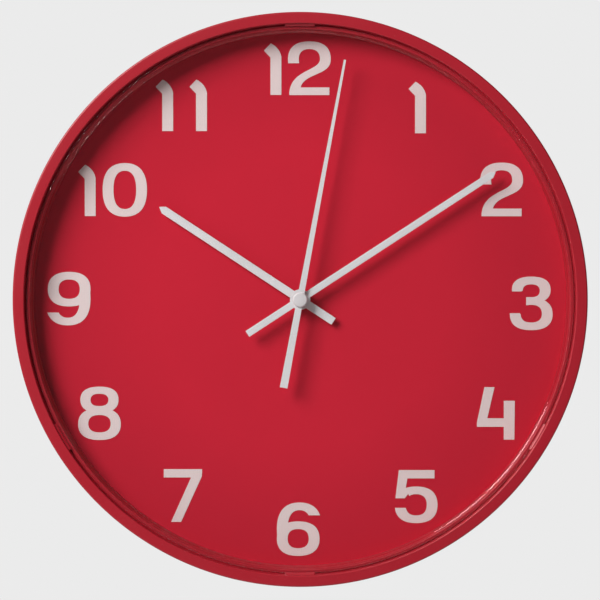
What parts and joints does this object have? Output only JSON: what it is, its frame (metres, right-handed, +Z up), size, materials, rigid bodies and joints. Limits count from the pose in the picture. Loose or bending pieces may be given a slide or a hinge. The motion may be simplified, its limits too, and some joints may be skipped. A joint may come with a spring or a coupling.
{
  "type": "wall clock",
  "caption": "Round wall clock: red moulded case with a clear window, red dial with printed numerals, three painted hands and a battery quartz movement on the back.",
  "frame": {"origin": "on the axis of the hands, in the plane of the wall that the case's rear rim rests on", "axes": "+Y from the clock into the wall, +Z up towards the 12, +X towards the 3 as the front is seen"},
  "size_m": [0.28, 0.04, 0.28],
  "materials": {
    "case_plastic": "satin moulded red plastic with a fine grain",
    "lens_plastic": "clear polished polystyrene",
    "dial_print": "matt red printed sheet",
    "numeral_ink": "matt warm off-white ink",
    "hand_paint": "satin warm off-white paint on sheet metal",
    "cap_paint": "satin warm grey paint",
    "carrier_plastic": "matt moulded red plastic",
    "screw_steel": "zinc plated steel",
    "movement_plastic": "matt black moulded plastic",
    "bridge_plastic": "natural moulded plastic",
    "gear_plastic": "natural acetal",
    "knob_plastic": "moulded off-white plastic",
    "arbor_steel": "turned steel",
    "collet_brass": "turned brass",
    "magnet_iron": "sintered magnet",
    "stator_steel": "soft iron sheet",
    "winding_copper": "enamelled copper wire",
    "board_laminate": "brown paper laminate",
    "chip_resin": "black potting resin",
    "crystal_can": "tinned metal can",
    "contact_metal": "nickel plated spring steel",
    "battery_sleeve": "plain printed sleeve on a metal can"
  },
  "bodies": {
    "case": {"case_ring": "case_plastic", "lens": "lens_plastic", "dial": "dial_print", "numerals": "numeral_ink", "carrier_plate": "carrier_plastic", "case_screws": "screw_steel", "movement_case": "movement_plastic", "movement_cover": "movement_plastic", "gear_bridge": "bridge_plastic", "stator_plate": "stator_steel", "coil_core": "stator_steel", "coil_bobbin": "bridge_plastic", "coil_winding": "winding_copper", "circuit_board": "board_laminate", "circuit_chip": "chip_resin", "quartz_crystal": "crystal_can", "positive_contact": "contact_metal", "negative_contact": "contact_metal"},
    "second_hand": {"second_hand": "hand_paint", "second_hand_cap": "cap_paint", "seconds_arbor": "arbor_steel", "seconds_wheel": "gear_plastic"},
    "minute_hand": {"minute_hand": "hand_paint", "minute_hand_collet": "collet_brass", "minute_pinion": "gear_plastic"},
    "hour_hand": {"hour_hand": "hand_paint", "hour_hand_collet": "collet_brass", "hour_wheel": "gear_plastic"},
    "minute_wheel": {"minute_wheel": "gear_plastic", "setting_knob": "knob_plastic"},
    "centre_wheel": {"centre_wheel": "gear_plastic", "clutch_spring": "contact_metal"},
    "third_wheel": {"third_wheel": "gear_plastic"},
    "intermediate_wheel": {"intermediate_wheel": "gear_plastic"},
    "rotor": {"rotor_pinion": "gear_plastic", "rotor_magnet": "magnet_iron"},
    "battery": {"battery": "battery_sleeve"}
  },
  "joints": [
    {"name": "second_hand_turn", "type": "hinge", "parent": "case", "child": "second_hand", "pos_m": [0, 0, 0], "axis": [0, 1, 0], "continuous": true},
    {"name": "third_wheel_turn", "type": "hinge", "parent": "case", "child": "third_wheel", "pos_m": [-0.0102, 0, 0], "axis": [0, 1, 0], "continuous": true},
    {"name": "centre_wheel_turn", "type": "hinge", "parent": "case", "child": "centre_wheel", "pos_m": [0, 0, 0], "axis": [0, 1, 0], "continuous": true},
    {"name": "intermediate_wheel_turn", "type": "hinge", "parent": "case", "child": "intermediate_wheel", "pos_m": [0, 0, 0.0105], "axis": [0, 1, 0], "continuous": true},
    {"name": "rotor_turn", "type": "hinge", "parent": "case", "child": "rotor", "pos_m": [-0.003, 0, 0.0157], "axis": [0, 1, 0], "continuous": true},
    {"name": "minute_hand_turn", "type": "hinge", "parent": "case", "child": "minute_hand", "pos_m": [0, 0, 0], "axis": [0, 1, 0], "continuous": true},
    {"name": "minute_wheel_turn", "type": "hinge", "parent": "case", "child": "minute_wheel", "pos_m": [0.0115, 0, 0], "axis": [0, 1, 0], "continuous": true},
    {"name": "hour_hand_turn", "type": "hinge", "parent": "case", "child": "hour_hand", "pos_m": [0, 0, 0], "axis": [0, 1, 0], "continuous": true},
    {"name": "battery_slide", "type": "slide", "parent": "case", "child": "battery", "axis": [0, 1, 0], "range_m": [0, 0.03]}
  ],
  "couplings": [
    {"joint": "third_wheel_turn", "follows": "second_hand_turn", "ratio": -0.13333},
    {"joint": "centre_wheel_turn", "follows": "second_hand_turn", "ratio": 0.016667},
    {"joint": "intermediate_wheel_turn", "follows": "second_hand_turn", "ratio": -6},
    {"joint": "rotor_turn", "follows": "second_hand_turn", "ratio": 30},
    {"joint": "minute_wheel_turn", "follows": "minute_hand_turn", "ratio": -0.25},
    {"joint": "hour_hand_turn", "follows": "minute_hand_turn", "ratio": 0.083333}
  ]
}
